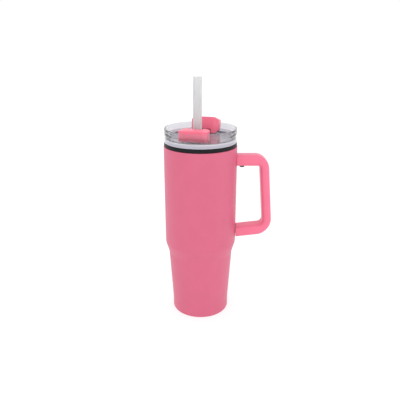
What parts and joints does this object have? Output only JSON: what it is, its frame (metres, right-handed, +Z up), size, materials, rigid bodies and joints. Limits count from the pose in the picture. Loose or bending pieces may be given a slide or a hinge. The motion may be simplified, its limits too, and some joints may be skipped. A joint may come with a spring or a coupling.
{
  "type": "insulated tumbler",
  "caption": "Vacuum-insulated steel tumbler with a narrow foot, side handle, clear push-in lid with two flap covers, and a straw.",
  "frame": {"origin": "centre of the base pad's underside, on the cup's axis", "axes": "+Z up along the cup's axis, +X towards the handle, -Y towards the drinking side"},
  "size_m": [0.1491, 0.1, 0.334],
  "materials": {
    "pink_powder_coat": "satin powder coat",
    "pink_plastic": "satin moulded",
    "bare_steel": "brushed",
    "dark_steel": "black oxide",
    "solder": "dull",
    "black_silicone": "matte",
    "clear_silicone": "translucent",
    "clear_plastic": "clear gloss",
    "frosted_plastic": "frosted translucent"
  },
  "bodies": {
    "cup": {"outer_shell": "pink_powder_coat", "inner_liner": "bare_steel", "base_plate": "bare_steel", "base_pad": "black_silicone", "seal_bead": "solder", "getter": "solder", "handle_body": "pink_plastic", "upper_bracket": "bare_steel", "lower_bracket": "bare_steel", "upper_screw": "dark_steel", "lower_screw": "dark_steel"},
    "lid": {"lid_body": "clear_plastic", "rim_gasket": "black_silicone", "plug_seal": "clear_silicone", "straw_grommet": "clear_silicone", "front_hinge_pin": "bare_steel", "rear_hinge_pin": "bare_steel"},
    "front_flap": {"front_flap": "pink_plastic", "front_stopper": "clear_silicone"},
    "rear_flap": {"rear_flap": "pink_plastic", "rear_stopper": "clear_silicone"},
    "straw": {"straw": "frosted_plastic"}
  },
  "joints": [
    {"name": "lid_lift", "type": "slide", "parent": "cup", "child": "lid", "axis": [0, 0, 1], "range_m": [0, 0.06]},
    {"name": "front_flap_hinge", "type": "hinge", "parent": "lid", "child": "front_flap", "pos_m": [-0.00733, -0.02557, 0.2622], "axis": [-0.9613, 0.2756, 0], "range_deg": [0, 90]},
    {"name": "rear_flap_hinge", "type": "hinge", "parent": "lid", "child": "rear_flap", "pos_m": [0.00733, 0.02557, 0.2622], "axis": [-0.9613, 0.2756, 0], "range_deg": [-11, 79]},
    {"name": "straw_pull", "type": "slide", "parent": "lid", "child": "straw", "axis": [0, 0, 1], "range_m": [0, 0.25]}
  ]
}
